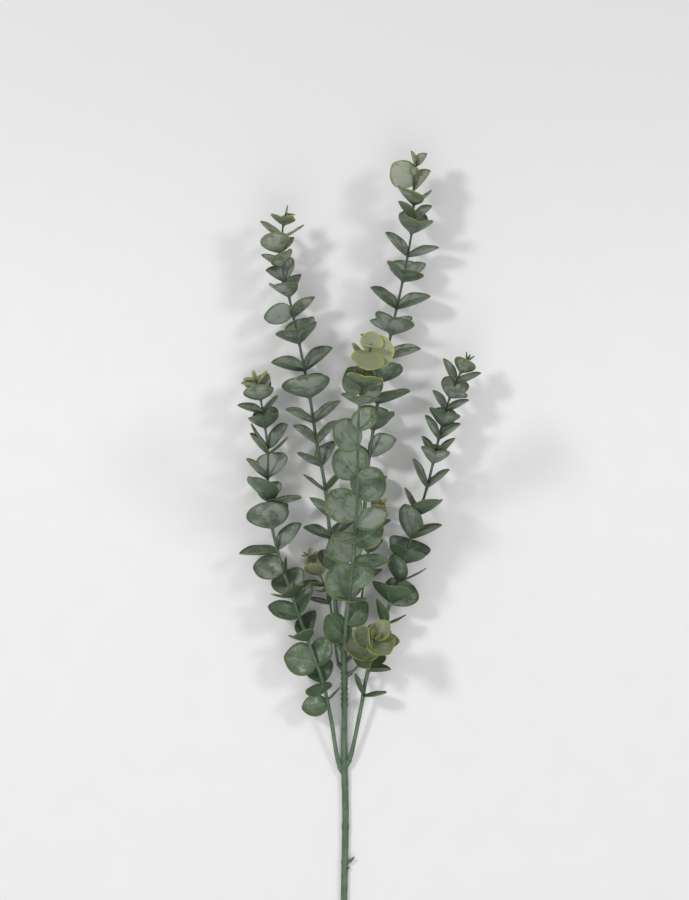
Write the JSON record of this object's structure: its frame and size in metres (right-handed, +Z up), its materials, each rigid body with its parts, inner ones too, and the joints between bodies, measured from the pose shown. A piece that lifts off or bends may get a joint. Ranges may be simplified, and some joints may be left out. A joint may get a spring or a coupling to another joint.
{
  "type": "eucalyptus stem",
  "caption": "Moulded eucalyptus stem lying down: a bare stem that forks into long leafy branches and short sprigs with paired round leaves.",
  "frame": {"origin": "on the surface that the stem lies on, under the middle of its box", "axes": "+Y runs up the stem from its cut end to the branch tips, +Z up from the surface, +X to the right as seen from above"},
  "size_m": [0.216, 0.7188, 0.2148],
  "materials": {
    "stem_green": "moulded, satin",
    "leaf_grey_green": "powdery bloom over moulded veins",
    "leaf_front_green": "powdery bloom over moulded veins, yellow-green rims"
  },
  "bodies": {
    "root": {"main_stem": "stem_green", "branch_far_left": "leaf_grey_green", "branch_left_tall": "leaf_grey_green", "branch_right_tall": "leaf_grey_green", "branch_right_low": "leaf_grey_green", "branch_front": "leaf_front_green", "sprig_front": "leaf_front_green", "sprig_back_left": "leaf_grey_green", "sprig_back_right": "leaf_grey_green"}
  },
  "joints": []
}
